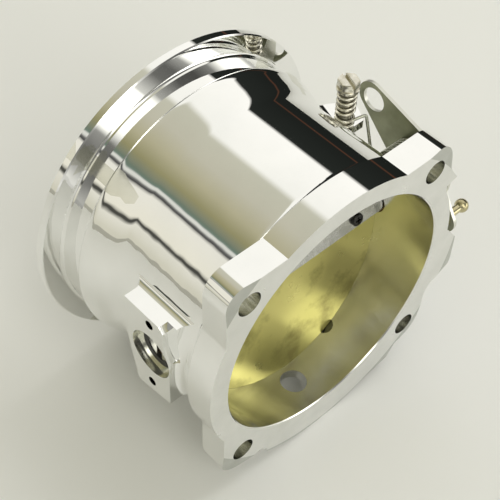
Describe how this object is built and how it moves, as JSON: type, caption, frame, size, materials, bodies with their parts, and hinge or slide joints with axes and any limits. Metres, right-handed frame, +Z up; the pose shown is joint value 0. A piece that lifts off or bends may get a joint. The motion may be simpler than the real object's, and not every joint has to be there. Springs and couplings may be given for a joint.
{
  "type": "throttle body",
  "caption": "Cable-driven butterfly throttle body: square-eared outlet flange, clamped inlet lip, sensor boss, lever with return spring and idle stop screw.",
  "frame": {"origin": "centre of the bore on the outlet flange's face", "axes": "+Y along the bore from the outlet flange to the inlet lip, +Z up with the object lying as it does on a table, +X towards the throttle lever, so the shaft lies along X"},
  "size_m": [0.1388, 0.0774, 0.1161],
  "materials": {
    "polished_aluminium": "mirror polished outside, satin machined on the flange face and in the bore",
    "plate_brass": "dull rolled sheet with stains",
    "zinc_steel": "bright zinc plated",
    "shaft_steel": "ground",
    "lever_steel": "dull olive-grey plated",
    "dark_screw_steel": "black oxide",
    "spring_steel": "drawn wire",
    "bush_bronze": "sintered bronze",
    "seal_rubber": "matte",
    "nylon": "natural nylon"
  },
  "bodies": {
    "housing_body": {"housing": "polished_aluminium", "sensor_side_bush": "bush_bronze", "sensor_side_seal": "seal_rubber", "linkage_side_bush": "bush_bronze", "linkage_side_seal": "seal_rubber", "port_plug": "zinc_steel", "return_spring": "spring_steel"},
    "throttle": {"throttle_shaft": "shaft_steel", "throttle_plate": "plate_brass", "plate_screws": "dark_screw_steel", "thrust_washer": "nylon", "stop_lever": "lever_steel", "lever_spacer": "shaft_steel", "spring_bush": "nylon", "throttle_lever": "lever_steel", "ball_stud": "zinc_steel", "flat_washer": "zinc_steel", "lock_washer": "zinc_steel", "shaft_nut": "zinc_steel"},
    "idle_spring": {"idle_screw_spring": "zinc_steel"},
    "idle_adjuster": {"idle_screw": "zinc_steel"}
  },
  "joints": [
    {"name": "throttle_shaft_turn", "type": "hinge", "parent": "housing_body", "child": "throttle", "pos_m": [0, 0.0268, 0], "axis": [-1, 0, 0], "range_deg": [0, 80], "stiffness_Nm_per_rad": 0.3, "springref_deg": -68.75, "deforming": ["return_spring"]},
    {"name": "idle_screw_lift", "type": "slide", "parent": "housing_body", "child": "idle_spring", "axis": [0, 0, 1], "range_m": [0, 0.0024], "deforming": ["idle_screw_spring"]},
    {"name": "idle_screw_turn", "type": "hinge", "parent": "idle_spring", "child": "idle_adjuster", "pos_m": [0.0545, 0.0515, 0.0165], "axis": [0, 0, 1], "range_deg": [0, 1080]}
  ],
  "couplings": [
    {"joint": "idle_screw_turn", "follows": "idle_screw_lift", "rad_per_m": 7854}
  ]
}
